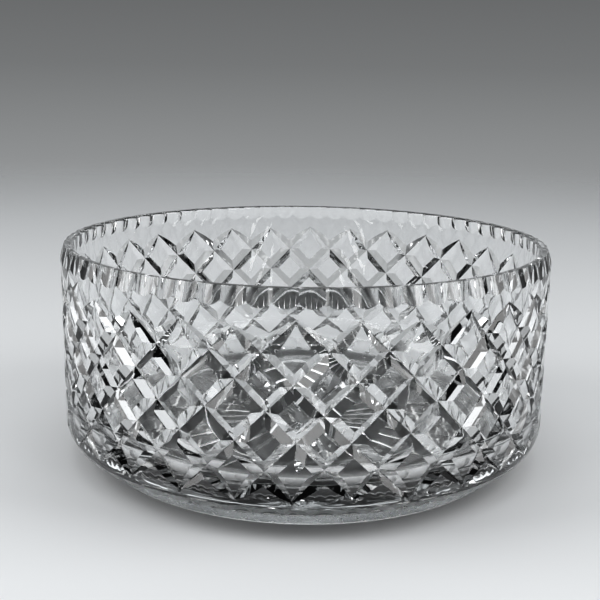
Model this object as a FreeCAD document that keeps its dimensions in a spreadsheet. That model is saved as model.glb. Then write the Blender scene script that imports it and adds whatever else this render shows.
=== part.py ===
import FreeCAD, Part
import math
import os

import Sketcher

# Cut crystal punch bowl, millimetres, +Z up.
# Origin: centre of the standing ring, on the surface the bowl rests on.
# The bowl is one piece of glass: a thick drum-shaped blank, turned, then cut with
# a lattice of mitre grooves, rim scallops, corner flutes and a star under the base.

os.makedirs("parts", exist_ok=True)
doc = FreeCAD.newDocument("PunchBowl")

# ---------------------------------------------------------------- driving sizes
SIZES = [
    ("wall_radius", 125.0, "outside radius of the uncut wall"),
    ("bowl_height", 111.0, "standing ring to the top of the lip"),
    ("corner_height", 21.5, "height where the straight wall turns into the lower corner"),
    ("corner_arc", 13.77, "radius of the rounded lower corner"),
    ("crease_radius", 112.6, "radius of the crease between corner and foot"),
    ("crease_height", 7.8, "height of that crease"),
    ("foot_radius", 106.6, "outside radius of the standing ring"),
    ("ring_radius", 98.0, "inside radius of the standing ring"),
    ("ring_step", 1.2, "height of the step inside the standing ring"),
    ("recess_height", 2.0, "height of the hollow under the middle of the base"),
    ("lip_radius", 119.0, "inside radius at the lip"),
    ("lip_round", 1.2, "rounding of the polished lip edges"),
    ("inner_radius", 115.4, "inside radius at the top of the inner corner"),
    ("inner_height", 37.0, "height of the top of the inner corner"),
    ("inner_arc", 24.0, "radius of the inner corner"),
    ("floor_radius", 91.5, "radius of the flat floor inside"),
    ("floor_height", 13.0, "height of the floor inside"),
    ("groove_count", 30, "mitre grooves of each hand round the bowl"),
    ("groove_depth", 2.6, "full depth of a mitre groove"),
    ("groove_slope", 57.5, "angle between a groove face and the groove's middle plane, degrees"),
    ("groove_clear", 2.0, "how far the groove cutter stands clear of the wall"),
    ("apex_height", 96.9, "height of the points along the top of the lattice"),
    ("level_step", 13.0, "height of half a diamond"),
    ("level_count", 6, "half diamonds between the top and bottom points"),
    ("run_out", 1.06, "length of a groove's tapering end, in half diamonds"),
    ("scallop_count", 72, "facets round the rim"),
    ("scallop_wheel", 24.0, "radius of the rim facet's hollow"),
    ("scallop_depth", 2.6, "depth of a rim facet at the lip"),
    ("scallop_foot", 102.6, "height of the bottom of a rim facet"),
    ("scallop_turn", 2.5, "turn of the first rim facet from +X, degrees"),
    ("flute_count", 60, "flutes round the lower corner"),
    ("flute_wheel", 12.0, "radius of the flute's hollow"),
    ("flute_top_radius", 124.3, "radius of the top end of a flute's bottom line"),
    ("flute_top_height", 15.5, "height of that end"),
    ("flute_low_radius", 111.8, "radius of the low end of a flute's bottom line"),
    ("flute_low_height", 7.8, "height of that end"),
    ("star_count", 30, "rays of the star under the base"),
    ("star_inner", 7.0, "radius of a ray's inner end"),
    ("star_outer", 93.0, "radius of a ray's outer end"),
    ("star_depth", 2.4, "depth of a ray at its middle"),
    ("star_clear", 1.0, "how far the ray cutter stands clear of the base"),
    ("star_slope", 55.0, "angle between a ray's face and its middle plane, degrees"),
]

sheet = doc.addObject("Spreadsheet::Sheet", "Sizes")
sheet.set("A1", "size")
sheet.set("B1", "value")
sheet.set("C1", "meaning")
for row, (alias, value, meaning) in enumerate(SIZES, start=2):
    sheet.set("A%d" % row, alias)
    sheet.set("B%d" % row, str(value))
    sheet.set("C%d" % row, meaning)
    sheet.setAlias("B%d" % row, alias)
doc.recompute()


def size(alias):
    """Value of one driving size."""
    return float(sheet.get(alias))


def plane(body, role):
    """One of the body's own origin planes or axes, by its role."""
    for feature in body.Origin.OriginFeatures:
        if feature.Role == role:
            return feature
    raise RuntimeError("no " + role)


# ---------------------------------------------------------------- sketch helpers
def new_sketch(body, name, role, offset=None):
    """Empty sketch on one of the body's own planes."""
    sketch = body.newObject("Sketcher::SketchObject", name)
    sketch.AttachmentSupport = [(plane(body, role), "")]
    sketch.MapMode = "FlatFace"
    if offset is not None:
        sketch.AttachmentOffset = offset
    return sketch


def closed_outline(sketch, corners, edges):
    """Closed outline through named corners.

    corners: list of (name, x, y, x_rule, y_rule), the rules being expressions or
    None; edges: one entry per corner, None for a line to the next corner or
    (radius, centre_x, centre_y, radius_rule, direction) for an arc.
    """
    count = len(corners)
    points = [FreeCAD.Vector(c[1], c[2], 0) for c in corners]
    for index in range(count):
        start, end = points[index], points[(index + 1) % count]
        edge = edges[index]
        if edge is None:
            sketch.addGeometry(Part.LineSegment(start, end), False)
            continue
        radius, centre_x, centre_y, _rule, direction = edge
        circle = Part.Circle(FreeCAD.Vector(centre_x, centre_y, 0), FreeCAD.Vector(0, 0, 1), radius)
        first = math.atan2(start.y - centre_y, start.x - centre_x)
        last = math.atan2(end.y - centre_y, end.x - centre_x)
        if direction > 0:
            sketch.addGeometry(Part.ArcOfCircle(circle, first, last), False)
        else:
            sketch.addGeometry(Part.ArcOfCircle(circle, last, first), False)

    def ends(index):
        """Start and end point numbers of an edge, in outline order."""
        edge = edges[index]
        if edge is not None and edge[4] < 0:
            return 2, 1
        return 1, 2

    for index in range(count):
        following = (index + 1) % count
        sketch.addConstraint(
            Sketcher.Constraint("Coincident", index, ends(index)[1], following, ends(following)[0])
        )
    for index, (name, x, y, x_rule, y_rule) in enumerate(corners):
        vertex = ends(index)[0]
        for axis, value, rule in (("X", x, x_rule), ("Y", y, y_rule)):
            if abs(value) < 1e-9 and rule is None:
                kind = "PointOnObject"
                target = -2 if axis == "X" else -1
                sketch.addConstraint(Sketcher.Constraint(kind, index, vertex, target))
                continue
            number = sketch.addConstraint(
                Sketcher.Constraint("Distance" + axis, -1, 1, index, vertex, value)
            )
            label = "%s_%s" % (name, axis.lower())
            sketch.renameConstraint(number, label)
            if rule is not None:
                sketch.setExpression("Constraints." + label, rule)
    for index, edge in enumerate(edges):
        if edge is None:
            continue
        number = sketch.addConstraint(Sketcher.Constraint("Radius", index, edge[0]))
        label = "%s_arc" % corners[index][0]
        sketch.renameConstraint(number, label)
        sketch.setExpression("Constraints." + label, edge[3])
    return sketch


def arc_centre(start, end, radius, side):
    """Centre of the arc of a given radius through two points, on one side of the chord."""
    middle = ((start[0] + end[0]) / 2.0, (start[1] + end[1]) / 2.0)
    across = (end[0] - start[0], end[1] - start[1])
    length = math.hypot(*across)
    rise = math.sqrt(max(radius * radius - length * length / 4.0, 0.0)) * side
    return middle[0] - across[1] / length * rise, middle[1] + across[0] / length * rise


def ring_pattern(body, feature, name, count_alias):
    """Repeat one cut evenly round the bowl's upright axis."""
    pattern = body.newObject("PartDesign::PolarPattern", name)
    pattern.Originals = [feature]
    pattern.Axis = (plane(body, "Z_Axis"), [""])
    pattern.Angle = 360.0
    pattern.setExpression("Occurrences", "Sizes." + count_alias)
    body.Tip = pattern
    doc.recompute()
    return pattern


# ---------------------------------------------------------------- the turned blank
bowl = doc.addObject("PartDesign::Body", "Bowl")
bowl.Label = "bowl"

RW, HT = size("wall_radius"), size("bowl_height")
CH, CA = size("corner_height"), size("corner_arc")
CR, CZ = size("crease_radius"), size("crease_height")
FR, RR, RS, RH = size("foot_radius"), size("ring_radius"), size("ring_step"), size("recess_height")
LR, LE = size("lip_radius"), size("lip_round")
IR, IH, IA = size("inner_radius"), size("inner_height"), size("inner_arc")
OR, OH = size("floor_radius"), size("floor_height")

blank_sketch = new_sketch(bowl, "BlankOutline", "XZ_Plane")
corner_centre = arc_centre((CR, CZ), (RW, CH), CA, 1)
outer_lip = arc_centre((RW, HT - LE), (RW - LE, HT), LE, 1)
inner_lip = arc_centre((LR + LE, HT), (LR, HT - LE), LE, 1)
inner_corner = arc_centre((IR, IH), (OR, OH), IA, -1)
closed_outline(
    blank_sketch,
    [
        ("under", 0.0, RH, None, "Sizes.recess_height"),
        ("step", RR - RS, RS, "Sizes.ring_radius - Sizes.ring_step", "Sizes.ring_step"),
        ("ring", RR, 0.0, "Sizes.ring_radius", None),
        ("foot", FR, 0.0, "Sizes.foot_radius", None),
        ("crease", CR, CZ, "Sizes.crease_radius", "Sizes.crease_height"),
        ("wall", RW, CH, "Sizes.wall_radius", "Sizes.corner_height"),
        ("edge", RW, HT - LE, "Sizes.wall_radius", "Sizes.bowl_height - Sizes.lip_round"),
        ("top", RW - LE, HT, "Sizes.wall_radius - Sizes.lip_round", "Sizes.bowl_height"),
        ("lip", LR + LE, HT, "Sizes.lip_radius + Sizes.lip_round", "Sizes.bowl_height"),
        ("inside", LR, HT - LE, "Sizes.lip_radius", "Sizes.bowl_height - Sizes.lip_round"),
        ("bend", IR, IH, "Sizes.inner_radius", "Sizes.inner_height"),
        ("floor", OR, OH, "Sizes.floor_radius", "Sizes.floor_height"),
        ("middle", 0.0, OH, None, "Sizes.floor_height"),
    ],
    [
        None,
        None,
        None,
        None,
        (CA, corner_centre[0], corner_centre[1], "Sizes.corner_arc", 1),
        None,
        (LE, outer_lip[0], outer_lip[1], "Sizes.lip_round", 1),
        None,
        (LE, inner_lip[0], inner_lip[1], "Sizes.lip_round", 1),
        None,
        (IA, inner_corner[0], inner_corner[1], "Sizes.inner_arc", -1),
        None,
        None,
    ],
)
blank = bowl.newObject("PartDesign::Revolution", "Blank")
blank.Profile = blank_sketch
blank.ReferenceAxis = (plane(bowl, "Z_Axis"), [""])
blank.Angle = 360.0
bowl.Tip = blank
doc.recompute()


# ---------------------------------------------------------------- round-wheel cuts
def wheel_cut(name, wheel_alias, low, high, low_rules, high_rules, past, turn, count_alias):
    """Hollow facets cut by a round wheel whose bottom line runs through two points.

    The points lie in the upright plane through the bowl's axis; the cut is a
    cylinder lying outside that line, repeated round the bowl.
    """
    wheel = size(wheel_alias)
    along = FreeCAD.Vector(high[0] - low[0], high[1] - low[1], 0).normalize()
    outward = FreeCAD.Vector(along.y, -along.x, 0)
    low_point = FreeCAD.Vector(low[0], low[1], 0)
    high_point = FreeCAD.Vector(high[0], high[1], 0)
    start, end = low_point - along * past, high_point + along * past
    ring = [start, end, end + outward * wheel, start + outward * wheel]
    turned = FreeCAD.Placement(FreeCAD.Vector(), FreeCAD.Rotation(FreeCAD.Vector(0, 1, 0), turn))
    sketch = new_sketch(bowl, name + "Outline", "XZ_Plane", turned)
    for index in range(4):
        sketch.addGeometry(Part.LineSegment(ring[index], ring[(index + 1) % 4]), False)
    sketch.addGeometry(Part.LineSegment(ring[2], ring[3]), True)
    sketch.addGeometry(Part.Point(low_point), True)
    sketch.addGeometry(Part.Point(high_point), True)
    for index in range(4):
        sketch.addConstraint(Sketcher.Constraint("Coincident", index, 2, (index + 1) % 4, 1))
    sketch.addConstraint(Sketcher.Constraint("Coincident", 4, 1, 2, 1))
    sketch.addConstraint(Sketcher.Constraint("Coincident", 4, 2, 2, 2))
    for index in range(3):
        sketch.addConstraint(Sketcher.Constraint("Perpendicular", index, index + 1))
    for geometry, label, point, rules in (
        (5, "low", low_point, low_rules),
        (6, "high", high_point, high_rules),
    ):
        for axis, value, rule in (("X", point.x, rules[0]), ("Y", point.y, rules[1])):
            number = sketch.addConstraint(
                Sketcher.Constraint("Distance" + axis, -1, 1, geometry, 1, value)
            )
            sketch.renameConstraint(number, "%s_%s" % (label, axis.lower()))
            sketch.setExpression("Constraints.%s_%s" % (label, axis.lower()), rule)
        sketch.addConstraint(Sketcher.Constraint("PointOnObject", geometry, 1, 0))
    sketch.addConstraint(Sketcher.Constraint("Distance", 5, 1, 0, 1, past))
    sketch.addConstraint(Sketcher.Constraint("Distance", 6, 1, 0, 2, past))
    number = sketch.addConstraint(Sketcher.Constraint("Distance", 3, wheel))
    sketch.renameConstraint(number, "wheel")
    sketch.setExpression("Constraints.wheel", "Sizes." + wheel_alias)
    doc.recompute()
    cut = bowl.newObject("PartDesign::Groove", name)
    cut.Profile = sketch
    cut.ReferenceAxis = (sketch, ["Axis0"])
    cut.Angle = 360.0
    bowl.Tip = cut
    doc.recompute()
    return ring_pattern(bowl, cut, name + "Ring", count_alias)


scallops = wheel_cut(
    "Scallop",
    "scallop_wheel",
    (RW, size("scallop_foot")),
    (RW - size("scallop_depth"), HT),
    ("Sizes.wall_radius", "Sizes.scallop_foot"),
    ("Sizes.wall_radius - Sizes.scallop_depth", "Sizes.bowl_height"),
    3.0,
    size("scallop_turn"),
    "scallop_count",
)
flutes = wheel_cut(
    "Flute",
    "flute_wheel",
    (size("flute_low_radius"), size("flute_low_height")),
    (size("flute_top_radius"), size("flute_top_height")),
    ("Sizes.flute_low_radius", "Sizes.flute_low_height"),
    ("Sizes.flute_top_radius", "Sizes.flute_top_height"),
    1.0,
    0.0,
    "flute_count",
)

# ---------------------------------------------------------------- mitre cuts
def mitre_cut(name, stations, depth_alias, clear_alias, slope_alias, count_alias):
    """Straight-sided V groove through a row of sections, repeated round the bowl.

    stations: list of (position, across, outward, along, share) - the point on the
    glass surface, three axes there, and the groove's depth as a share of its full
    depth (below zero where the wheel has already left the glass).
    """
    sections = []
    slope = math.tan(math.radians(size(slope_alias)))
    clear = size(clear_alias)
    for number, (position, across, outward, along, share) in enumerate(stations):
        place = FreeCAD.Placement(position, FreeCAD.Rotation(across, outward, along, "ZYX"))
        sketch = new_sketch(bowl, "%sSection%d" % (name, number), "XY_Plane", place)
        depth = size(depth_alias) * share
        half = (depth + clear) * slope
        rule = "(Sizes.%s * %.6f + Sizes.%s) * tan(Sizes.%s * 1 deg)" % (
            depth_alias, share, clear_alias, slope_alias)
        closed_outline(
            sketch,
            [
                ("valley", 0.0, -depth, None, "-Sizes.%s * %.6f" % (depth_alias, share)),
                ("right", half, clear, rule, "Sizes." + clear_alias),
                ("left", -half, clear, "-" + rule, "Sizes." + clear_alias),
            ],
            [None, None, None],
        )
        sections.append(sketch)
    doc.recompute()
    cut = bowl.newObject("PartDesign::SubtractiveLoft", name)
    cut.Profile = sections[0]
    cut.Sections = sections[1:]
    cut.Ruled = True
    bowl.Tip = cut
    doc.recompute()
    return ring_pattern(bowl, cut, name + "Ring", count_alias)


# Star under the base: rays running out to nothing at both ends.
UP, DOWN = FreeCAD.Vector(0, 0, 1), FreeCAD.Vector(0, 0, -1)
OUT, SIDE = FreeCAD.Vector(1, 0, 0), FreeCAD.Vector(0, 1, 0)
SI, SO = size("star_inner"), size("star_outer")
star_stations = []
for share, part in ((-0.02, 0.0), (0.75, 0.25), (1.0, 0.5), (0.75, 0.75), (-0.02, 1.0)):
    radius = SI + (SO - SI) * part
    height = RH + (RS - RH) * radius / (RR - RS)
    star_stations.append(
        (FreeCAD.Vector(radius, 0, height), SIDE, DOWN, FreeCAD.Vector(-1, 0, 0), share)
    )
star_stations.reverse()
star = mitre_cut("StarRay", star_stations, "star_depth", "star_clear", "star_slope", "star_count")


# Lattice of crossing grooves round the wall.
def outer_radius(height):
    """Outside radius of the uncut blank at a height on the wall or the corner."""
    if height >= CH:
        return RW
    drop = corner_centre[1] - height
    return corner_centre[0] + math.sqrt(CA * CA - drop * drop)


APEX, STEP, LEVELS = size("apex_height"), size("level_step"), size("level_count")
HALF_TURN = math.radians(180.0 / size("groove_count"))
FRONT = -math.pi / 2.0
STATIONS = [-0.13, 0.3, 0.65, 1.5, 2.5, 3.5, 4.5, 5.35, 5.7, 6.13]


def lattice_stations(hand):
    """Sections of one groove, hand +1 or -1, from its top point down."""
    stations = []
    slant = STEP / (RW * HALF_TURN)
    for station in STATIONS:
        turn = FRONT + HALF_TURN * station * hand
        height = APEX - STEP * station
        outward = FreeCAD.Vector(math.cos(turn), math.sin(turn), 0)
        around = FreeCAD.Vector(-math.sin(turn), math.cos(turn), 0) * hand
        along = (around - UP * slant).normalize()
        lifting = max(1.0 - station, station - (LEVELS - 1.0), 0.0) / size("run_out")
        position = outward * outer_radius(height) + UP * height
        stations.append((position, outward.cross(along), outward, along, 1.0 - lifting ** 2))
    return stations


right_lattice = mitre_cut("MitreRight", lattice_stations(1), "groove_depth", "groove_clear",
                          "groove_slope", "groove_count")
lattice = mitre_cut("MitreLeft", lattice_stations(-1), "groove_depth", "groove_clear",
                    "groove_slope", "groove_count")


# ---------------------------------------------------------------- checks and export
def mesh_volume(shape):
    """Volume inside a fine mesh of the shape; steadier than face integration on cut walls."""
    points, triangles = shape.tessellate(0.05)
    total = 0.0
    for first, second, third in triangles:
        total += points[first].dot(points[second].cross(points[third]))
    return total / 6.0


bowl.Tip = lattice
doc.recompute()
failed = [o.Name for o in doc.Objects if "Invalid" in o.State or "Error" in o.State]
if failed:
    raise RuntimeError("failed features: " + ", ".join(failed))

steps = [blank, scallops, flutes, star, right_lattice, lattice]
volumes = [mesh_volume(feature.Shape) for feature in steps]
for feature, before, after in zip(steps[1:], volumes, volumes[1:]):
    if after >= before - 1000.0:
        raise RuntimeError(feature.Name + " cuts nothing")

for piece in (bowl,):
    shape = piece.Shape
    if shape.isNull() or not shape.isValid() or len(shape.Solids) != 1:
        raise RuntimeError(piece.Label + " is not one valid solid")
    shape.exportStep("parts/%s.step" % piece.Label)
    print(piece.Label, "mm3:", round(volumes[-1]), "faces:", len(shape.Faces))
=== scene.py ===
"""Cut crystal punch bowl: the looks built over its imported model.

One piece of thick clear glass, turned and then cut: a lattice of crossing mitre
grooves round the wall, hollow facets round the lip, flutes round the lower corner
and a star under the base. Sizes are in millimetres until the finished mesh is
scaled to metres; the room is a plain pale table under soft studio light.
"""

import logging
import math
import random
from dataclasses import dataclass, field
from enum import Enum
from typing import Callable, Sequence, Union

import bmesh
import bpy
from mathutils import Matrix, Vector

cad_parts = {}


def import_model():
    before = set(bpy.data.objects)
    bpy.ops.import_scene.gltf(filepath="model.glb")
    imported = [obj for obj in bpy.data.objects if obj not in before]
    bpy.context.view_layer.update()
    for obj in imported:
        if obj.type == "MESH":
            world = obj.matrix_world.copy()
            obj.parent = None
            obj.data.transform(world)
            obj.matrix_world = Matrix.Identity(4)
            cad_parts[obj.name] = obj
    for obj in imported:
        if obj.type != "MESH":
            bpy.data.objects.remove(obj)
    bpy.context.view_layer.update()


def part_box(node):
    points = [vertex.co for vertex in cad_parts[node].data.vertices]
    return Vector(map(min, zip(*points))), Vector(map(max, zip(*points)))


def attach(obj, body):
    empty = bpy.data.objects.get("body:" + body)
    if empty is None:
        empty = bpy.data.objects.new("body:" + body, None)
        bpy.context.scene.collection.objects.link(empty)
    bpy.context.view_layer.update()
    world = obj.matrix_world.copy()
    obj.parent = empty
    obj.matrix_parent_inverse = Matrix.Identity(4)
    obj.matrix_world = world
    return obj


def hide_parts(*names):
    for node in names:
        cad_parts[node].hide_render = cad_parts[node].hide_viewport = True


LOG = logging.getLogger("punch_bowl")
NODE = "bowl"
METRE = 1000.0
FULL_TURN = 2.0 * math.pi
FRONT = -math.pi / 2.0
ROOT_TWO = math.sqrt(2.0)
HALVINGS = 40
# Tolerances of the lines scored on the flat sheet, in half diamonds.
TOUCH = 1e-5
NO_LENGTH = 1e-6


class Hand(Enum):
    """Which way a mitre groove leans as it runs down the wall."""

    RIGHT = 1
    LEFT = -1


class Zone(Enum):
    """The cut sheets that make up the outside of the bowl."""

    WALL = "wall"
    RIM = "rim"
    CORNER = "corner"
    BASE = "base"


# ---- small helpers
def blend(low: float, high: float, share: float) -> float:
    """Point between two numbers at a share of the way."""
    return low + (high - low) * share


def find_edge(outside: Callable[[float], bool], limit: float) -> float:
    """Where a cut leaves the glass, walking out from its middle.

    Args:
        outside: True once the cut's surface has left the glass at that distance.
        limit: The furthest distance that is looked at.

    Returns:
        The distance at which the cut ends, or limit where it is still in the glass.
    """
    if outside(0.0):
        return 0.0
    if not outside(limit):
        return limit
    low, high = 0.0, limit
    for _ in range(HALVINGS):
        middle = (low + high) / 2.0
        if outside(middle):
            high = middle
        else:
            low = middle
    return (low + high) / 2.0


def polar(radius: float, angle: float, height: float) -> Vector:
    """Point at a radius and an angle round the bowl's axis."""
    return Vector((radius * math.cos(angle), radius * math.sin(angle), height))


def sheet(columns: int, rows: int) -> bmesh.types.BMesh:
    """Flat grid whose x runs from -1 to 1 in columns and y from 0 to rows.

    Args:
        columns: Number of cells across.
        rows: Number of cells down.

    Returns:
        A new bmesh holding the grid.
    """
    grid = bmesh.new()
    bmesh.ops.create_grid(grid, x_segments=columns, y_segments=rows, size=1.0)
    for vert in grid.verts:
        vert.co.y = (1.0 - vert.co.y) / 2.0 * rows
    return grid


def repeat_round(grid: bmesh.types.BMesh, copies: int) -> None:
    """Copies a finished sector evenly round the axis.

    Args:
        grid: The sector's mesh, which grows to the whole ring.
        copies: Number of sectors in the ring.
    """
    bmesh.ops.spin(
        grid,
        geom=[*grid.verts, *grid.edges, *grid.faces],
        cent=(0.0, 0.0, 0.0),
        axis=(0.0, 0.0, 1.0),
        dvec=(0.0, 0.0, 0.0),
        angle=FULL_TURN * (copies - 1) / copies,
        steps=copies - 1,
        use_duplicate=True,
    )


def pour(source: bmesh.types.BMesh, target: bmesh.types.BMesh) -> None:
    """Adds one mesh to another and frees the first.

    Args:
        source: The mesh that is added.
        target: The mesh that receives it.
    """
    carrier = bpy.data.meshes.new("carrier")
    source.to_mesh(carrier)
    source.free()
    target.from_mesh(carrier)
    bpy.data.meshes.remove(carrier)


# ---- the turned blank
@dataclass(frozen=True)
class Blank:
    """The turned bowl before cutting, in millimetres."""

    wall: float
    height: float
    corner_top: float = 21.5
    corner_arc: float = 13.77
    crease_radius: float = 112.6
    crease_height: float = 7.8
    foot: float = 106.6
    foot_round: float = 0.45
    ring: float = 98.0
    step: float = 1.2
    recess: float = 2.0
    lip: float = 119.0
    lip_round: float = 1.2
    inner: float = 115.4
    inner_top: float = 37.0
    inner_arc: float = 24.0
    floor: float = 13.0
    floor_shares: tuple[float, ...] = (0.75, 0.5, 0.25, 0.08, 0.0)

    def outside(self, height: float) -> float:
        """Outside radius at a height, up to the start of the lip's rounding.

        Args:
            height: Height above the table.

        Returns:
            The uncut radius there.
        """
        if height >= self.corner_top:
            return self.wall
        if height >= self.crease_height:
            drop = self.corner_top - height
            return self.wall - self.corner_arc + math.sqrt(self.corner_arc**2 - drop**2)
        share = height / self.crease_height
        return blend(self.foot, self.crease_radius, share)

    def lip_rows(self, cells: int) -> list[tuple[float, float]]:
        """Rounded lip from its outer edge over the top to its inner edge.

        Args:
            cells: Cells in each quarter round.

        Returns:
            Rows of (radius, height).
        """
        edge = self.height - self.lip_round
        rows = []
        for number in range(1, cells + 1):
            turn = math.pi / 2.0 * number / cells
            reach = self.wall - self.lip_round + self.lip_round * math.cos(turn)
            rows.append((reach, edge + self.lip_round * math.sin(turn)))
        for number in range(cells + 1):
            turn = math.pi / 2.0 * (1.0 + number / cells)
            reach = self.lip + self.lip_round + self.lip_round * math.cos(turn)
            rows.append((reach, edge + self.lip_round * math.sin(turn)))
        return rows

    def inside_rows(self, wall_cells: int, corner_cells: int) -> list[tuple[float, float]]:
        """Inside of the bowl from under the lip to the middle of the floor.

        Args:
            wall_cells: Cells down the inner wall.
            corner_cells: Cells round the inner corner.

        Returns:
            Rows of (radius, height).
        """
        top = self.height - self.lip_round
        rows = []
        for number in range(1, wall_cells + 1):
            share = number / wall_cells
            rows.append((blend(self.lip, self.inner, share), blend(top, self.inner_top, share)))
        centre = self.inner - self.inner_arc
        for number in range(1, corner_cells + 1):
            turn = math.pi / 2.0 * number / corner_cells
            reach = centre + self.inner_arc * math.cos(turn)
            rows.append((reach, self.floor + self.inner_arc * (1.0 - math.sin(turn))))
        for share in self.floor_shares:
            rows.append((centre * share, self.floor))
        return rows


# ---- cuts in the glass
@dataclass(frozen=True)
class WheelLine:
    """Bottom line of a hollow cut by a round wheel, in the upright plane through the axis."""

    low: tuple[float, float]
    high: tuple[float, float]
    wheel: float

    @property
    def length(self) -> float:
        """Distance between the two end points."""
        return math.hypot(self.high[0] - self.low[0], self.high[1] - self.low[1])

    @property
    def run(self) -> tuple[float, float]:
        """Direction of the line, outwards and upwards."""
        across, up = self.high[0] - self.low[0], self.high[1] - self.low[1]
        return across / self.length, up / self.length

    def point(self, along: float, aside: float) -> tuple[float, float, float]:
        """Point on the hollow.

        Args:
            along: Distance from the low end, along the bottom line.
            aside: Distance to the side of the bottom line.

        Returns:
            (distance from the axis in the middle plane, side distance, height).
        """
        run_x, run_z = self.run
        swell = self.wheel - math.sqrt(self.wheel**2 - aside**2)
        return (
            self.low[0] + run_x * along + run_z * swell,
            aside,
            self.low[1] + run_z * along - run_x * swell,
        )


@dataclass(frozen=True)
class HandCut:
    """How far each groove of a hand-cut lattice strays from its marked line.

    A groove is named by the half diamond where its top point stands, counted round
    the bowl from the front. A shift is positive upwards, square to the groove. Grooves
    that are not listed stray by up to the usual amount, and a shift dies away over the
    spread on each side of its groove.
    """

    right: tuple[tuple[int, float], ...] = (
        (-8, -0.6), (-6, -1.4), (-4, -0.5), (-2, -2.4), (0, -0.2), (2, -0.2),
    )
    left: tuple[tuple[int, float], ...] = (
        (-8, -2.2), (-6, -2.0), (-4, -1.3), (-2, -0.6), (0, 1.3), (2, 0.3), (4, 0.0),
        (6, 1.2), (8, 2.2),
    )
    usual: float = 0.8
    spread: float = 6.0
    seed: int = 7

    def shifts(self, hand: Hand, count: int) -> dict[int, float]:
        """Shift of every groove of one hand.

        Args:
            hand: Which way the grooves lean.
            count: Number of grooves of that hand.

        Returns:
            Shift in millimetres by the groove's place round the bowl.
        """
        pick = random.Random(self.seed + hand.value)
        table = {2 * number: pick.uniform(-self.usual, self.usual) for number in range(count)}
        known = self.right if hand is Hand.RIGHT else self.left
        table.update({place % (2 * count): shift for place, shift in known})
        return table


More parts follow.
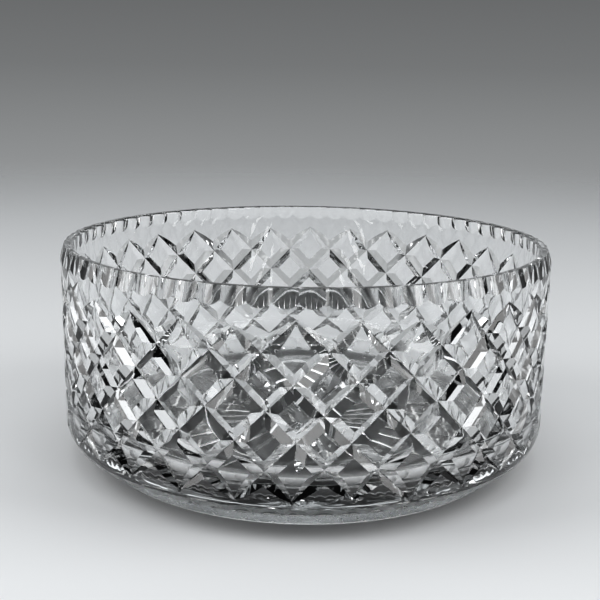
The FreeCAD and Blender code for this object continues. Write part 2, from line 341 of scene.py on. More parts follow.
@dataclass(frozen=True)
class Lattice:
    """Crossing mitre grooves round the wall.

    The sheet is laid out flat in half diamonds: x round the bowl, y up from the
    top points of the lattice. Towards its two edges the stray of the grooves fades
    out, so that the sheet still meets its neighbours.
    """

    blank: Blank
    count: int = 30
    depth: float = 2.6
    slope: float = 57.5
    top: float = 96.9
    step: float = 13.0
    levels: int = 6
    run_out: float = 1.06
    columns: int = 2
    cells_per_half: int = 6
    above: float = 0.35
    below: float = 0.25
    guard: float = 0.17
    fade_above: float = 0.1
    fade_below: float = 0.05
    shallow: float = 1e-4
    taper: tuple[float, ...] = (-0.06, 0.1, 0.3, 0.5, 0.7, 0.85, 1.0)
    hand_cut: HandCut = HandCut()

    @property
    def half_turn(self) -> float:
        """Angle of half a diamond."""
        return math.pi / self.count

    @property
    def unit(self) -> float:
        """Length of half a diamond, the mean of its width and its height."""
        return (self.blank.wall * self.half_turn + self.step) / 2.0

    @property
    def stations(self) -> list[float]:
        """Places along a groove where its depth changes, from its top point down."""
        return list(self.taper) + [self.levels - place for place in reversed(self.taper)]

    def share(self, place: float) -> float:
        """Depth of a groove's valley as a share of full depth.

        Args:
            place: Place along the groove, in half diamonds below its top point.

        Returns:
            1 along most of the groove, running out to below 0 past both ends.
        """
        near = min(place, self.levels - place)
        stops = self.taper
        if near >= stops[-1]:
            return 1.0
        index = max(i for i in range(len(stops) - 1) if stops[i] <= near or i == 0)
        low, high = stops[index], stops[index + 1]
        at_low = 1.0 - ((1.0 - low) / self.run_out) ** 2
        at_high = 1.0 - ((1.0 - high) / self.run_out) ** 2
        return blend(at_low, at_high, (near - low) / (high - low))

    def reach(self, place: float) -> float:
        """Half a groove's width at a place, as an offset in half diamonds."""
        width = max(self.share(place), 0.0) * self.depth * math.tan(math.radians(self.slope))
        return width * ROOT_TWO / self.unit

    @staticmethod
    def nearby(start: float) -> tuple[int, int, int]:
        """Top points of the three grooves of one hand that pass nearest."""
        nearest = round(start / 2.0) * 2
        return nearest - 2, nearest, nearest + 2

    def cut_depth(self, x: float, y: float) -> float:
        """Depth of the deepest groove at a spot on the sheet.

        Args:
            x: Spot across the sheet, in half diamonds.
            y: Spot up the sheet, in half diamonds.

        Returns:
            Depth below the wall, 0 where nothing is cut.
        """
        deepest = 0.0
        cotangent = 1.0 / math.tan(math.radians(self.slope))
        for hand in Hand:
            lean = hand.value
            start = x * lean + y
            for origin in self.nearby(start):
                place = (x * lean - origin - y) / 2.0
                aside = abs(start - origin) / ROOT_TWO * self.unit
                deepest = max(deepest, self.share(place) * self.depth - aside * cotangent)
        return deepest if deepest > self.shallow else 0.0

    @staticmethod
    def score(grid: bmesh.types.BMesh, start: Vector, end: Vector) -> None:
        """Cuts the faces that a short straight line crosses.

        Args:
            grid: The flat sheet.
            start: One end of the line.
            end: The other end.
        """
        run = end - start
        length = run.length
        if length < NO_LENGTH:
            return
        run.normalize()
        aside = Vector((-run.y, run.x, 0.0))
        crossed: list[bmesh.types.BMFace] = []
        for face in grid.faces:
            along = [(vert.co - start).dot(run) for vert in face.verts]
            if max(along) < TOUCH or min(along) > length - TOUCH:
                continue
            across = [(vert.co - start).dot(aside) for vert in face.verts]
            if max(across) < TOUCH or min(across) > -TOUCH:
                continue
            crossed.append(face)
        if not crossed:
            return
        # Kept in the order they are met, so that every run numbers the mesh alike.
        edges = dict.fromkeys(edge for face in crossed for edge in face.edges)
        verts = dict.fromkeys(vert for face in crossed for vert in face.verts)
        pieces = [*verts, *edges, *crossed]
        bmesh.ops.bisect_plane(grid, geom=pieces, dist=TOUCH, plane_co=start, plane_no=aside)

    def score_groove(self, grid: bmesh.types.BMesh, origin: float, hand: Hand) -> None:
        """Scores one groove's valley and its two edges on the sheet.

        Args:
            grid: The flat sheet.
            origin: Where the groove's top point stands, across the sheet.
            hand: Which way it leans.
        """

        def spot(place: float, offset: float) -> Vector:
            """Spot on the sheet at a place along the groove and an offset from it."""
            return Vector((origin + hand.value * (place + offset / 2.0), offset / 2.0 - place, 0.0))

        stations = self.stations
        self.score(grid, spot(stations[0], 0.0), spot(stations[-1], 0.0))
        for place in stations[1:-1]:
            wide = self.reach(place)
            self.score(grid, spot(place, -wide), spot(place, wide))
        for low, high in zip(stations, stations[1:]):
            for side in (-1.0, 1.0):
                self.score(
                    grid,
                    spot(low, side * self.reach(low)),
                    spot(high, side * self.reach(high)),
                )

    def build(self) -> bmesh.types.BMesh:
        """Makes the whole ring of wall, cut with both hands of groove.

        Returns:
            The ring as a mesh in millimetres.
        """
        width = 2 * self.columns
        grid = sheet(width * self.cells_per_half, 1)
        bottom = -self.levels - self.below
        for vert in grid.verts:
            vert.co.x = (vert.co.x + 1.0) / 2.0 * width
            vert.co.y = blend(self.above, bottom, vert.co.y)
        left, right = Vector((-1.0, 0.0, 0.0)), Vector((width + 1.0, 0.0, 0.0))
        levels = [0.0 - level for level in range(self.levels + 1)]
        for height in levels + [self.guard, -self.levels - self.guard]:
            rise = Vector((0.0, height, 0.0))
            self.score(grid, left + rise, right + rise)
        for hand in Hand:
            for column in range(-self.levels, width + self.levels + 1, 2):
                self.score_groove(grid, float(column), hand)
        for vert in grid.verts:
            x, y = vert.co.x, vert.co.y
            height = self.top + self.step * y
            radius = self.blank.outside(height) - self.cut_depth(x, y)
            vert.co = polar(radius, FRONT + x * self.half_turn, height)
        repeat_round(grid, self.count // self.columns)
        self.stray(grid)
        LOG.info("wall lattice: %d faces", len(grid.faces))
        return grid

    def stray(self, grid: bmesh.types.BMesh) -> None:
        """Shifts each groove a little, as a cutter's hand does.

        Args:
            grid: The whole ring of wall.
        """
        tables = {hand: self.hand_cut.shifts(hand, self.count) for hand in Hand}
        for vert in grid.verts:
            angle = math.atan2(vert.co.y, vert.co.x)
            x = (angle - FRONT) / self.half_turn
            y = (vert.co.z - self.top) / self.step
            above = (self.above - y) / (self.above - self.fade_above)
            below = (y + self.levels + self.below) / (self.below - self.fade_below)
            hold = min(max(min(above, below), 0.0), 1.0)
            aside, rise = 0.0, 0.0
            for hand, table in tables.items():
                start = x * hand.value + y
                for origin in self.nearby(start):
                    off = (start - origin) / ROOT_TWO * self.unit
                    pull = math.exp(-0.5 * (off / self.hand_cut.spread) ** 2)
                    shift = table[(origin * hand.value) % (2 * self.count)] * pull / ROOT_TWO
                    aside += shift * hand.value
                    rise += shift
            height = vert.co.z + rise * hold
            radius = math.hypot(vert.co.x, vert.co.y)
            radius += self.blank.outside(height) - self.blank.outside(vert.co.z)
            vert.co = polar(radius, angle + aside * hold / self.blank.wall, height)


@dataclass(frozen=True)
class HollowRing:
    """Part shared by the rings of hollow facets: columns that follow each cut's edge.

    Cuts whose edges come nearer than the meet, an angle in radians, share one edge.
    """

    count: int
    hollow_cells: int
    plain_cells: int
    meet: float = field(default=5e-4, kw_only=True)

    @property
    def half_pitch(self) -> float:
        """Half the angle between neighbouring cuts."""
        return math.pi / self.count

    def column(self, x: float) -> tuple[float, float, float]:
        """Reads a sheet's column.

        Args:
            x: Place across the sheet, -1 to 1.

        Returns:
            (side, share of the way across the hollow, share across the plain glass).
        """
        half = self.hollow_cells + self.plain_cells
        number = round(abs(x) * half)
        side = -1.0 if x < 0.0 else 1.0
        if number <= self.hollow_cells:
            return side, number / self.hollow_cells, 0.0
        return side, 1.0, (number - self.hollow_cells) / self.plain_cells

    def settle(self, cut: tuple[float, float], uncut: float,
               hollow: float, plain: float) -> tuple[float, float]:
        """Moves a spot to the edge it shares with its neighbour or on to the plain glass.

        Args:
            cut: Angle and radius of the spot on the hollow.
            uncut: Radius of the plain glass at the spot's height.
            hollow: Share of the way across the hollow.
            plain: Share of the way across the plain glass.

        Returns:
            (angle from the middle of the cut, radius).
        """
        angle, radius = cut
        if hollow == 1.0 and angle > self.half_pitch - self.meet:
            return self.half_pitch, radius
        if plain > 0.0:
            return blend(angle, self.half_pitch, plain), uncut
        return angle, radius

    def open_sheet(self, rows: int) -> bmesh.types.BMesh:
        """Flat grid for one cut and the glass beside it."""
        return sheet(2 * (self.hollow_cells + self.plain_cells), rows)


@dataclass(frozen=True)
class RimFacets(HollowRing):
    """Hollow facets round the lip, and the inside of the bowl that carries on from them."""

    blank: Blank
    line: WheelLine
    start: float
    turn: float
    climb: tuple[float, ...] = (0.0, 0.02, 0.07, 0.15, 0.27, 0.42, 0.6, 0.8, 1.0)
    lip_cells: int = 8
    wall_cells: int = 8
    corner_cells: int = 12
    margin: float = 1.05

    def rows(self) -> list[tuple[float, float]]:
        """Rows of the uncut glass, from below the facets over the lip to the floor.

        Returns:
            Rows of (radius, height).
        """
        wall, foot = self.blank.wall, self.line.low[1]
        edge = self.blank.height - self.blank.lip_round
        rows = [(wall, self.start)] + [(wall, blend(foot, edge, share)) for share in self.climb]
        rows += self.blank.lip_rows(self.lip_cells)
        rows += self.blank.inside_rows(self.wall_cells, self.corner_cells)
        return rows

    def hollow(self, height: float, aside: float) -> float:
        """Distance of the facet's surface from the axis, in its middle plane.

        Args:
            height: Height above the table.
            aside: Distance to the side of the facet's middle.

        Returns:
            The distance at that height.
        """
        lean = (self.line.high[0] - self.line.low[0]) / (self.line.high[1] - self.line.low[1])
        base = self.line.low[0] + lean * (height - self.line.low[1])
        swell = self.line.wheel - math.sqrt(self.line.wheel**2 - aside**2)
        return base + swell * math.sqrt(1.0 + lean**2)

    def edge(self, radius: float, height: float) -> float:
        """Half width of the facet in one row.

        Args:
            radius: Uncut radius of the row.
            height: Height of the row.

        Returns:
            The half width, 0 where the facet misses the glass.
        """
        if height < self.line.low[1]:
            return 0.0

        def outside(side: float) -> bool:
            """True once the facet has left the glass or met its neighbour."""
            reach = self.hollow(height, side)
            return math.hypot(reach, side) >= radius or math.atan2(side, reach) >= self.half_pitch

        return find_edge(outside, radius * math.sin(self.half_pitch) * self.margin)

    def build(self) -> bmesh.types.BMesh:
        """Makes the ring of facets, the lip, the inner wall and the floor.

        Returns:
            The ring as a mesh in millimetres.
        """
        rows = self.rows()
        grid = self.open_sheet(len(rows) - 1)
        edges = [self.edge(radius, height) for radius, height in rows]
        for vert in grid.verts:
            number = round(vert.co.y)
            radius, height = rows[number]
            side, hollow, plain = self.column(vert.co.x)
            aside = edges[number] * hollow
            reach = self.hollow(height, aside)
            if edges[number] <= 0.0:
                angle, distance = 0.0, radius
            else:
                angle, distance = math.atan2(aside, reach), min(math.hypot(reach, aside), radius)
            angle, distance = self.settle((angle, distance), radius, hollow, plain)
            vert.co = polar(distance, self.turn + side * angle, height)
        repeat_round(grid, self.count)
        LOG.info("rim facets and inside: %d faces", len(grid.faces))
        return grid


@dataclass(frozen=True)
class CornerFlutes(HollowRing):
    """Flutes round the lower corner, and the foot below them."""

    blank: Blank
    line: WheelLine
    start: float
    past: float = 1.0
    shares: tuple[float, ...] = (
        0.0, 0.02, 0.07, 0.15, 0.27, 0.4, 0.54, 0.68, 0.8, 0.9, 0.96, 1.0,
    )
    blunt: float = 3.0
    foot_top: float = 6.0
    foot_shares: tuple[float, ...] = (0.75, 0.5, 0.28)

    def edge(self, along: float) -> float:
        """Half width of the flute at a place along its bottom line.

        Args:
            along: Distance from the low end, along the bottom line.

        Returns:
            The half width, 0 where the flute misses the glass.
        """

        def outside(side: float) -> bool:
            """True once the flute has left the glass or met its neighbour."""
            reach, aside, _ = self.line.point(along, side)
            return self._left(along, side) or math.atan2(aside, reach) >= self.half_pitch

        return find_edge(outside, self.blank.wall * math.sin(self.half_pitch))

    def _left(self, along: float, side: float) -> bool:
        """True where the flute's surface has left the glass."""
        reach, aside, height = self.line.point(along, side)
        return math.hypot(reach, aside) >= self.blank.outside(height)

    def stops(self) -> list[float]:
        """Places of the flute's rows, from where it enters the glass to past its low end.

        Returns:
            Distances from the low end, along the bottom line.
        """
        limit = self.line.length + self.past
        entry = find_edge(lambda along: self._left(along, 0.0), limit)
        return [blend(entry, -self.past, share) for share in self.shares]

    def face_out(self, along: float, aside: float) -> tuple[float, float, float]:
        """Where the flute's blunt low end meets the foot.

        Args:
            along: Place of the blunt end along the bottom line.
            aside: Distance to the side.

        Returns:
            (distance from the axis in the middle plane, side distance, height).
        """
        reach, _, height = self.line.point(along, aside)
        run_x, run_z = self.line.run

        def out(distance: float) -> bool:
            """True once a point moved straight out of the flute has left the glass."""
            radius = math.hypot(reach + run_z * distance, aside)
            return radius >= self.blank.outside(height - run_x * distance)

        travel = find_edge(out, self.blunt)
        return reach + run_z * travel, aside, height - run_x * travel

    def foot_rows(self) -> list[tuple[float, float]]:
        """Rows down the foot, across the standing ring and over its step.

        Returns:
            Rows of (radius, height).
        """
        blank = self.blank
        heights = [self.foot_top * share for share in self.foot_shares]
        rows = [(blank.outside(height), height) for height in heights]
        soft = blank.foot_round
        rows += [
            (blank.outside(soft), soft),
            (blank.foot - 0.1 * soft, 0.25 * soft),
            (blank.foot - soft, 0.0),
            (blank.ring, 0.0),
            (blank.ring - blank.step, blank.step),
        ]
        return rows

    def build(self) -> bmesh.types.BMesh:
        """Makes the ring of flutes with the foot and the standing ring.

        Returns:
            The ring as a mesh in millimetres.
        """
        stops = self.stops()
        plain_rows = self.foot_rows()
        grid = self.open_sheet(1 + len(stops) + len(plain_rows))
        widths = [self.edge(stop) for stop in stops]
        first_foot = 2 + len(stops)
        for vert in grid.verts:
            number = round(vert.co.y)
            side, hollow, plain = self.column(vert.co.x)
            if number == 0 or number >= first_foot:
                top = (self.blank.outside(self.start), self.start)
                radius, height = plain_rows[number - first_foot] if number else top
                vert.co = polar(radius, FRONT + side * plain * self.half_pitch, height)
                continue
            index = min(number - 1, len(stops) - 1)
            width = widths[index]
            if number == len(stops) + 1:
                reach, aside, height = self.face_out(stops[-1], width * hollow)
            else:
                reach, aside, height = self.line.point(stops[index], width * hollow)
            cut = (math.atan2(aside, reach), math.hypot(reach, aside))
            angle, radius = self.settle(cut, self.blank.outside(height), hollow, plain)
            vert.co = polar(radius, FRONT + side * angle, height)
        repeat_round(grid, self.count)
        LOG.info("corner flutes and foot: %d faces", len(grid.faces))
        return grid


@dataclass(frozen=True)
class StarBase(HollowRing):
    """Star of tapering rays under the base."""

    blank: Blank
    depth: float = 2.4
    slope: float = 55.0
    inner: float = 7.0
    outer: float = 93.0
    rows: tuple[float, ...] = (
        96.8, 95.0, 93.0, 91.5, 88.0, 82.0, 74.0, 66.0, 58.0, 50.0, 42.0,
        34.0, 27.0, 20.0, 15.0, 11.0, 8.5, 7.0, 4.0, 1.5, 0.0,
    )

    def ray_depth(self, radius: float) -> float:
        """Depth of a ray at a distance from the middle, 0 beyond its ends."""
        part = (radius - self.inner) / (self.outer - self.inner)
        return max(self.depth * (1.0 - (2.0 * part - 1.0) ** 2), 0.0)

    def build(self) -> bmesh.types.BMesh:
        """Makes the whole underside inside the standing ring.

        Returns:
            The underside as a mesh in millimetres.
        """
        grid = self.open_sheet(len(self.rows) - 1)
        edge = self.blank.ring - self.blank.step
        spread = math.tan(math.radians(self.slope))
        for vert in grid.verts:
            radius = self.rows[round(vert.co.y)]
            side, hollow, plain = self.column(vert.co.x)
            height = blend(self.blank.recess, self.blank.step, radius / edge)
            depth = self.ray_depth(radius)
            aside = depth * spread * hollow
            angle = math.asin(min(aside / radius, 1.0)) if radius > 0.0 else 0.0
            if plain > 0.0:
                angle = blend(angle, self.half_pitch, plain)
            lift = depth * (1.0 - hollow)
            vert.co = polar(radius, FRONT + side * angle, height + lift)
        repeat_round(grid, self.count)
        LOG.info("star base: %d faces", len(grid.faces))
        return grid


# ---- node helpers
def map_range(tree: bpy.types.NodeTree, value: bpy.types.NodeSocket,
              source: tuple[float, float], result: tuple[float, float]) -> bpy.types.Node:
    """Adds a clamped range node.

    Args:
        tree: The node tree.
        value: Socket giving the value.
        source: Range that is read.
        result: Range that it becomes.

    Returns:
        The new node.
    """
    node = tree.nodes.new("ShaderNodeMapRange")
    tree.links.new(value, node.inputs["Value"])
    names = ("From Min", "From Max", "To Min", "To Max")
    for name, number in zip(names, source + result):
        node.inputs[name].default_value = number
    return node


def noise(tree: bpy.types.NodeTree, place: bpy.types.NodeSocket,
          scale: float, detail: float) -> bpy.types.NodeSocket:
    """Adds a noise node.

    Args:
        tree: The node tree.
        place: Socket giving the coordinates.
        scale: Noise scale, per metre.
        detail: Octaves of detail.

    Returns:
        The noise's value socket.
    """
    node = tree.nodes.new("ShaderNodeTexNoise")
    node.inputs["Scale"].default_value = scale
    node.inputs["Detail"].default_value = detail
    tree.links.new(place, node.inputs["Vector"])
    return node.outputs["Fac"]


def calculate(tree: bpy.types.NodeTree, operation: str,
              *terms: Union[bpy.types.NodeSocket, float]) -> bpy.types.NodeSocket:
    """Adds a math node.

    Args:
        tree: The node tree.
        operation: Blender's name for the operation.
        terms: A socket or a plain number for each input, in order.

    Returns:
        The node's value socket.
    """
    node = tree.nodes.new("ShaderNodeMath")
    node.operation = operation
    for socket, term in zip(node.inputs, terms):
        if isinstance(term, float):
            socket.default_value = term
        else:
            tree.links.new(term, socket)
    return node.outputs["Value"]


def fill_ramp(tree: bpy.types.NodeTree, value: bpy.types.NodeSocket,
              steps: Sequence[tuple[float, tuple[float, ...]]]) -> bpy.types.NodeSocket:
    """Adds a colour ramp.

    Args:
        tree: The node tree.
        value: Socket that drives the ramp.
        steps: Pairs of position and colour, in rising order.

    Returns:
        The ramp's colour socket.
    """
    ramp = tree.nodes.new("ShaderNodeValToRGB")
    stops = ramp.color_ramp.elements
    while len(stops) < len(steps):
        stops.new(1.0)
    for stop, (position, colour) in zip(stops, steps):
        stop.position = position
        stop.color = colour
    tree.links.new(value, ramp.inputs["Fac"])
    return ramp.outputs["Color"]


# ---- finishes
@dataclass(frozen=True)
class CrystalFinish:
    """Clear lead crystal: polished, with a worn standing ring, satin foot and satin flutes.

    Heights, radii and bump depths are in metres and noise scales are per metre.
    """

    name: str = "crystal_clear"
    tint: tuple[float, float, float, float] = (0.99, 0.994, 0.996, 1.0)
    depth_tint: tuple[float, float, float, float] = (0.87, 0.90, 0.91, 1.0)
    density: float = 4.5
    index: float = 1.545
    polish: tuple[float, float] = (0.0, 0.02)
    ring_rough: float = 0.55
    ring_worn: float = 0.0004
    ring_clear: float = 0.0011
    foot_rough: float = 0.85
    satin_top: float = 0.016
    satin: tuple[tuple[float, float], ...] = (
        (0.0, 0.5), (0.0066, 0.5), (0.0069, 0.0), (0.0080, 0.0),
        (0.0083, 1.0), (0.0140, 1.0), (0.0153, 0.0),
    )
    foot_inside: float = 0.1035
    foot_blend: float = 0.0006
    scuff_scale: float = 420.0
    scuff_detail: float = 6.0
    cloud_scale: float = 26.0
    cloud_detail: float = 3.0
    cloud_range: tuple[float, float] = (0.35, 0.75)
    wave_scale: float = 55.0
    wave_detail: float = 1.5
    wave_height: float = 0.00011
    hair_scale: float = 900.0
    hair_detail: float = 2.0
    hair_height: float = 0.0000012

    def roughness(self, tree: bpy.types.NodeTree,
                  place: bpy.types.NodeSocket) -> bpy.types.NodeSocket:
        """Adds up the polish, the satin of the foot and flutes and the worn standing ring.

        Args:
            tree: The material's node tree.
            place: Socket giving the piece's own coordinates.

        Returns:
            Socket giving the roughness.
        """
        split = tree.nodes.new("ShaderNodeSeparateXYZ")
        tree.links.new(place, split.inputs["Vector"])
        height = split.outputs["Z"]
        scuff = noise(tree, place, self.scuff_scale, self.scuff_detail)
        ring = map_range(tree, height, (self.ring_worn, self.ring_clear), (1.0, 0.0))
        worn = calculate(tree, "MULTIPLY", ring.outputs["Result"], scuff)
        spread = tree.nodes.new("ShaderNodeVectorMath")
        spread.operation = "MULTIPLY"
        spread.inputs[1].default_value = (1.0, 1.0, 0.0)
        tree.links.new(place, spread.inputs[0])
        reach = tree.nodes.new("ShaderNodeVectorMath")
        reach.operation = "LENGTH"
        tree.links.new(spread.outputs["Vector"], reach.inputs[0])
        edge = (self.foot_inside, self.foot_inside + self.foot_blend)
        outer = map_range(tree, reach.outputs["Value"], edge, (0.0, self.foot_rough))
        climb = map_range(tree, height, (0.0, self.satin_top), (0.0, 1.0))
        steps = [(level / self.satin_top, (part, part, part, 1.0)) for level, part in self.satin]
        zone = fill_ramp(tree, climb.outputs["Result"], steps)
        low = calculate(tree, "MULTIPLY", zone, scuff)
        cloud = noise(tree, place, self.cloud_scale, self.cloud_detail)
        polish = map_range(tree, cloud, self.cloud_range, self.polish).outputs["Result"]
        band = calculate(tree, "MULTIPLY_ADD", outer.outputs["Result"], low, polish)
        return calculate(tree, "MULTIPLY_ADD", worn, self.ring_rough, band)

    @staticmethod
    def relief(tree: bpy.types.NodeTree, pattern: bpy.types.NodeSocket,
               depth: float) -> bpy.types.Node:
        """Adds a bump node at full strength.

        Args:
            tree: The material's node tree.
            pattern: Socket giving the pattern.
            depth: Height of the relief.

        Returns:
            The new node.
        """
        bump = tree.nodes.new("ShaderNodeBump")
        bump.inputs["Strength"].default_value = 1.0
        bump.inputs["Distance"].default_value = depth
        tree.links.new(pattern, bump.inputs["Height"])
        return bump

    def make(self) -> bpy.types.Material:
        """Builds the node material.

        Returns:
            The finished material.
        """
        material = bpy.data.materials.new(self.name)
        material.use_nodes = True
        tree = material.node_tree
        shader = tree.nodes["Principled BSDF"]
        shader.inputs["Base Color"].default_value = self.tint
        shader.inputs["IOR"].default_value = self.index
        shader.inputs["Transmission Weight"].default_value = 1.0
        place = tree.nodes.new("ShaderNodeTexCoord").outputs["Object"]
        tree.links.new(self.roughness(tree, place), shader.inputs["Roughness"])
        # Broad waves of fire-polished glass under the faint hair lines of the wheel.
        wave = noise(tree, place, self.wave_scale, self.wave_detail)
        broad = self.relief(tree, wave, self.wave_height)
        hair = noise(tree, place, self.hair_scale, self.hair_detail)
        fine = self.relief(tree, hair, self.hair_height)
        tree.links.new(broad.outputs["Normal"], fine.inputs["Normal"])
        tree.links.new(fine.outputs["Normal"], shader.inputs["Normal"])
        body = tree.nodes.new("ShaderNodeVolumeAbsorption")
        body.inputs["Color"].default_value = self.depth_tint
        body.inputs["Density"].default_value = self.density
        tree.links.new(body.outputs["Volume"], tree.nodes["Material Output"].inputs["Volume"])
        return material


@dataclass(frozen=True)
class TableFinish:
    """Plain pale table top that fades into the surroundings at its rim."""

    name: str = "pale_table"
    colour: tuple[float, float, float, float] = (0.74, 0.75, 0.76, 1.0)
    roughness: float = 0.55
    specular: float = 0.25
    fade: tuple[float, float] = (0.75, 1.75)

    def make(self) -> bpy.types.Material:
        """Builds the node material.

        Returns:
            The finished material.
        """
        material = bpy.data.materials.new(self.name)
        material.use_nodes = True
        tree = material.node_tree
        shader = tree.nodes["Principled BSDF"]
        shader.inputs["Base Color"].default_value = self.colour
        shader.inputs["Roughness"].default_value = self.roughness
        shader.inputs["Specular IOR Level"].default_value = self.specular
        place = tree.nodes.new("ShaderNodeTexCoord")
        reach = tree.nodes.new("ShaderNodeVectorMath")
        reach.operation = "LENGTH"
        tree.links.new(place.outputs["Object"], reach.inputs[0])
        fade = map_range(tree, reach.outputs["Value"], self.fade, (0.0, 1.0))
        fade.interpolation_type = "SMOOTHSTEP"
        clear = tree.nodes.new("ShaderNodeBsdfTransparent")
        mix = tree.nodes.new("ShaderNodeMixShader")
        tree.links.new(fade.outputs["Result"], mix.inputs["Fac"])
        tree.links.new(shader.outputs["BSDF"], mix.inputs[1])
        tree.links.new(clear.outputs["BSDF"], mix.inputs[2])
        tree.links.new(mix.outputs["Shader"], tree.nodes["Material Output"].inputs["Surface"])
        return material


# ---- the bowl
@dataclass
class PunchBowl:
    """The whole cut bowl."""

    blank: Blank
    finish: CrystalFinish
    sharp: float = 12.0
    weld: float = 0.002

    def zones(self) -> dict[Zone, bmesh.types.BMesh]:
        """Builds the four sheets that close the bowl.

        Returns:
            The sheets' meshes, in millimetres.
        """
        blank = self.blank
        lattice = Lattice(blank)
        below = lattice.top - lattice.step * (lattice.levels + lattice.below)
        rim = RimFacets(
            count=72,
            hollow_cells=4,
            plain_cells=3,
            blank=blank,
            line=WheelLine(
                low=(blank.wall, 102.6),
                high=(blank.wall - 2.6, blank.height),
                wheel=24.0,
            ),
            start=102.2,
            turn=math.radians(-87.5),
        )
        flutes = CornerFlutes(
            count=60,
            hollow_cells=4,
            plain_cells=3,
            blank=blank,
            line=WheelLine(low=(111.8, 7.8), high=(124.3, 15.5), wheel=12.0),
            start=below,
        )
        star = StarBase(count=30, hollow_cells=1, plain_cells=6, blank=blank)
        return {
            Zone.WALL: lattice.build(),
            Zone.RIM: rim.build(),
            Zone.CORNER: flutes.build(),
            Zone.BASE: star.build(),
        }

    def close(self, glass: bmesh.types.BMesh) -> None:
        """Joins the sheets into one closed skin.

        Args:
            glass: The mesh holding every sheet.
        """
        bmesh.ops.remove_doubles(glass, verts=list(glass.verts), dist=self.weld)
        open_edges = [edge for edge in glass.edges if edge.is_boundary]
        bmesh.ops.bridge_loops(glass, edges=open_edges)
        bmesh.ops.recalc_face_normals(glass, faces=list(glass.faces))
        loose = [edge for edge in glass.edges if not edge.is_manifold]
        LOG.info("edges left open: %d", len(loose))

    def dress(self, glass: bmesh.types.BMesh) -> None:
        """Smooths every face and keeps each cut's edges crisp.

        Args:
            glass: The closed mesh.
        """
        for face in glass.faces:
            face.smooth = True
        limit = math.radians(self.sharp)
        for edge in glass.edges:
            if len(edge.link_faces) == 2 and edge.calc_face_angle(0.0) > limit:
                edge.smooth = False

    def build(self) -> bpy.types.Object:
        """Builds the finished bowl.

        Returns:
            The bowl's object, in metres, at the origin.
        """
        glass = bmesh.new()
        for part in self.zones().values():
            pour(part, glass)
        self.close(glass)
        self.dress(glass)
        bmesh.ops.scale(glass, vec=Vector((1.0, 1.0, 1.0)) / METRE, verts=list(glass.verts))
        mesh = bpy.data.meshes.new("cut_bowl")
        glass.to_mesh(mesh)
        glass.free()
        mesh.materials.append(self.finish.make())
        piece = bpy.data.objects.new("cut_bowl", mesh)
        bpy.context.collection.objects.link(piece)
        return piece


# ---- the studio
@dataclass(frozen=True)
class SoftBox:
    """One soft studio lamp, sized in metres and aimed at the middle of the bowl."""

    name: str
    place: tuple[float, float, float]
    width: float
    depth: float
    power: float
    aim: tuple[float, float, float] = (0.0, 0.0, 0.05)

    def hang(self) -> bpy.types.Object:
        """Hangs the lamp.

        Returns:
            The lamp's object.
        """
        lamp = bpy.data.lights.new(self.name, "AREA")
        lamp.shape = "RECTANGLE"
        lamp.size, lamp.size_y = self.width, self.depth
        lamp.energy = self.power
        holder = bpy.data.objects.new(self.name, lamp)
        look = Vector(self.aim) - Vector(self.place)
        holder.rotation_euler = look.to_track_quat("-Z", "Y").to_euler()
        holder.location = self.place
        bpy.context.collection.objects.link(holder)
        holder.visible_camera = False
        return holder


@dataclass(frozen=True)
class Camera:
    """The camera in front of the bowl, slightly above its rim.

    Reach and target are in outside radii of the bowl, angles in degrees, the lens and
    the sensor in millimetres. Yaw, pitch and roll turn the camera off its target.
    """

    radius: float
    reach: float = 4.31
    rise: float = 15.31
    target: float = 0.45
    swing: float = 1.1
    yaw: float = 0.28
    pitch: float = 2.21
    roll: float = -0.90
    lens: float = 60.498
    sensor: float = 36.0
    clip: tuple[float, float] = (0.01, 50.0)

    def set_up(self) -> bpy.types.Object:
        """Places the camera and makes it the scene's own.

        Returns:
            The camera's object.
        """
        lens = bpy.data.cameras.new("camera")
        lens.sensor_width = self.sensor
        lens.lens = self.lens
        lens.clip_start, lens.clip_end = self.clip
        holder = bpy.data.objects.new("camera", lens)
        bpy.context.collection.objects.link(holder)
        rise = math.radians(self.rise)
        distance = self.reach * self.radius
        above = self.target * self.radius + distance * math.sin(rise)
        axes = {
            "right": Vector((1.0, 0.0, 0.0)),
            "ahead": Vector((0.0, math.cos(rise), -math.sin(rise))),
        }
        axes["up"] = axes["right"].cross(axes["ahead"])
        for name, angle in (("up", self.yaw), ("right", self.pitch), ("ahead", self.roll)):
            turn = Matrix.Rotation(math.radians(angle), 3, axes[name])
            axes = {key: turn @ axis for key, axis in axes.items()}
        facing = Matrix((axes["right"], axes["up"], -axes["ahead"])).transposed().to_4x4()
        facing.translation = Vector((0.0, -distance * math.cos(rise), above))
        holder.matrix_world = Matrix.Rotation(math.radians(self.swing), 4, "Z") @ facing
        bpy.context.scene.camera = holder
        return holder


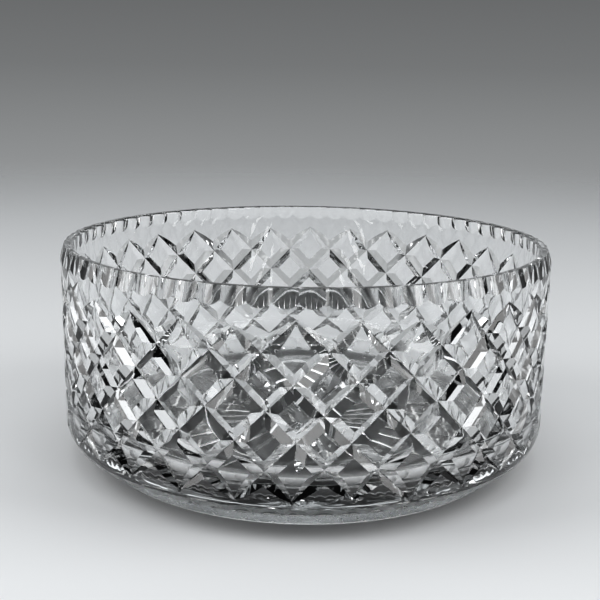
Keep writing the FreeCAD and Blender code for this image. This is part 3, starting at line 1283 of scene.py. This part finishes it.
@dataclass(frozen=True)
class Surroundings:
    """Soft grey room, as pairs of elevation in degrees and brightness.

    The glow lights the glass: a bright band low down, darker above and bright again
    overhead. What is seen behind the table is a plainer fade.
    """

    glow: tuple[tuple[float, float], ...] = (
        (-90.0, 0.40), (-20.0, 0.46), (-8.0, 0.60), (8.0, 0.58), (16.0, 0.28),
        (28.0, 0.10), (50.0, 0.10), (90.0, 2.20),
    )
    seen: tuple[tuple[float, float], ...] = (
        (-90.0, 0.55), (-12.0, 0.55), (-6.0, 0.42), (0.0, 0.27), (6.0, 0.19), (90.0, 0.12),
    )
    tint: tuple[float, float, float] = (0.96, 0.985, 1.0)

    def ramp(self, tree: bpy.types.NodeTree, height: bpy.types.NodeSocket,
             fade: tuple[tuple[float, float], ...]) -> bpy.types.NodeSocket:
        """Adds a brightness ramp that runs from straight down to straight up.

        Args:
            tree: The world's node tree.
            height: Socket giving the sine of the direction's elevation, scaled 0 to 1.
            fade: Pairs of elevation in degrees and brightness.

        Returns:
            The ramp's colour socket.
        """
        steps = []
        for elevation, bright in fade:
            position = (math.sin(math.radians(elevation)) + 1.0) / 2.0
            steps.append((position, (*(bright * part for part in self.tint), 1.0)))
        return fill_ramp(tree, height, steps)

    def make(self) -> bpy.types.World:
        """Builds the world.

        Returns:
            The world, ready to use.
        """
        world = bpy.data.worlds.new("soft_room")
        world.use_nodes = True
        tree = world.node_tree
        place = tree.nodes.new("ShaderNodeTexCoord")
        split = tree.nodes.new("ShaderNodeSeparateXYZ")
        tree.links.new(place.outputs["Generated"], split.inputs["Vector"])
        scale = map_range(tree, split.outputs["Z"], (-1.0, 1.0), (0.0, 1.0))
        height = scale.outputs["Result"]
        path = tree.nodes.new("ShaderNodeLightPath")
        mix = tree.nodes.new("ShaderNodeMix")
        mix.data_type = "RGBA"
        tree.links.new(path.outputs["Is Camera Ray"], mix.inputs["Factor"])
        tree.links.new(self.ramp(tree, height, self.glow), mix.inputs["A"])
        tree.links.new(self.ramp(tree, height, self.seen), mix.inputs["B"])
        tree.links.new(mix.outputs["Result"], tree.nodes["Background"].inputs["Color"])
        return world


@dataclass(frozen=True)
class Studio:
    """Table, surroundings and lamps, with the tones and light paths that suit them."""

    table: TableFinish
    room: Surroundings
    table_half: float = 2.0
    table_drop: float = 0.0002
    contrast: str = "Medium High Contrast"
    exposure: float = -0.55
    bounces: int = 24
    lamps: tuple[SoftBox, ...] = (
        SoftBox("left_box", (-0.82, -0.14, 0.58), 0.60, 0.80, 7.0),
        SoftBox("right_box", (0.82, -0.14, 0.58), 0.60, 0.80, 7.0),
        SoftBox("front_left_strip", (-0.80, -0.95, 0.35), 0.30, 0.55, 3.2),
        SoftBox("front_right_strip", (0.80, -0.95, 0.35), 0.30, 0.55, 3.2),
    )

    def lay_table(self) -> bpy.types.Object:
        """Lays the plain table top a hair's breadth under the bowl.

        Returns:
            The table's object.
        """
        grid = bmesh.new()
        bmesh.ops.create_grid(grid, x_segments=2, y_segments=2, size=self.table_half)
        bmesh.ops.translate(grid, vec=(0.0, 0.0, -self.table_drop), verts=list(grid.verts))
        mesh = bpy.data.meshes.new("table_top")
        grid.to_mesh(mesh)
        grid.free()
        mesh.materials.append(self.table.make())
        top = bpy.data.objects.new("table_top", mesh)
        bpy.context.collection.objects.link(top)
        return top

    def light(self) -> None:
        """Hangs the lamps and sets the surroundings, the tones and the light paths."""
        scene = bpy.context.scene
        scene.world = self.room.make()
        for lamp in self.lamps:
            lamp.hang()
        scene.view_settings.view_transform = "Standard"
        scene.view_settings.look = self.contrast
        scene.view_settings.exposure = self.exposure
        scene.cycles.max_bounces = self.bounces
        scene.cycles.transmission_bounces = self.bounces
        scene.cycles.caustics_refractive = False
        scene.cycles.caustics_reflective = False


def main() -> None:
    """Builds the bowl, the studio and the camera, in that order."""
    logging.basicConfig(level=logging.INFO, format="%(name)s: %(message)s")
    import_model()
    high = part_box(NODE)[1]
    bowl = PunchBowl(Blank(wall=high[0] * METRE, height=high[2] * METRE), CrystalFinish())
    piece = bowl.build()
    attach(piece, "root")
    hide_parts(NODE)
    LOG.info("cut bowl: %d faces", len(piece.data.polygons))
    radius = high[0]
    studio = Studio(TableFinish(), Surroundings())
    studio.lay_table()
    studio.light()
    Camera(radius).set_up()


if __name__ == "__main__":
    main()
